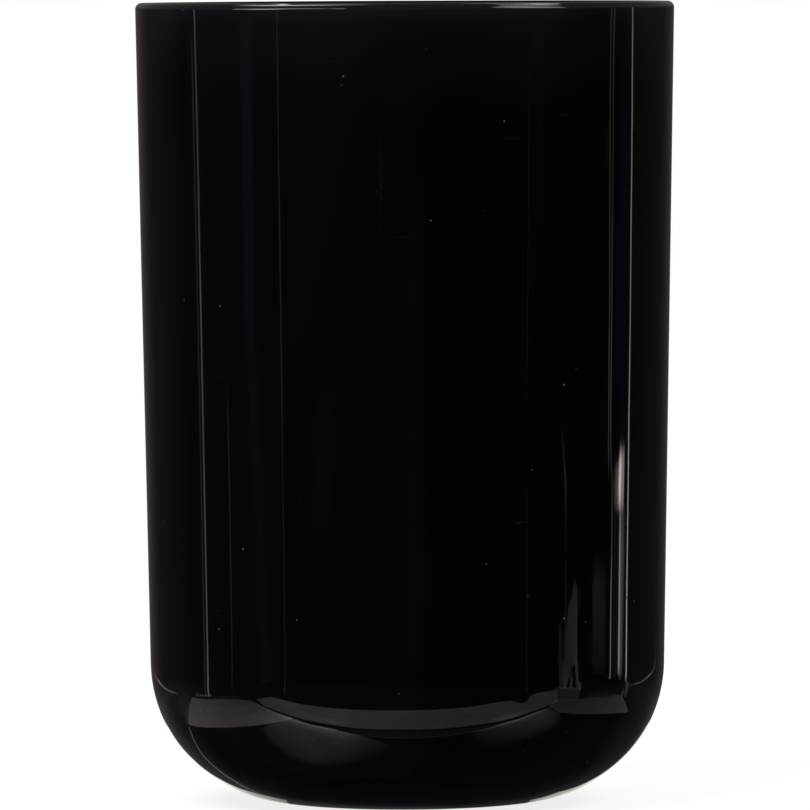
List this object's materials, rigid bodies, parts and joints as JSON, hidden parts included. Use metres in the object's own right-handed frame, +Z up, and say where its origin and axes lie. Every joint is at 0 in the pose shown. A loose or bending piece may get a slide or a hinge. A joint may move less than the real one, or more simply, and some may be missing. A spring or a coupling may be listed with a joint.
{
  "type": "tumbler cup",
  "caption": "Round bathroom tumbler cup with gently tapered walls, a rounded lip, a large round at the foot and a soft pad glued under it.",
  "frame": {"origin": "middle of the face that the cup stands on, the underside of the pad", "axes": "+Z up along the cup's axis, towards the mouth"},
  "size_m": [0.074, 0.074, 0.11],
  "materials": {
    "cup_gloss": "high gloss black, opaque",
    "pad_rubber": "matt dark grey foam rubber"
  },
  "bodies": {
    "root": {"cup_body": "cup_gloss", "base_pad": "pad_rubber"}
  },
  "joints": []
}
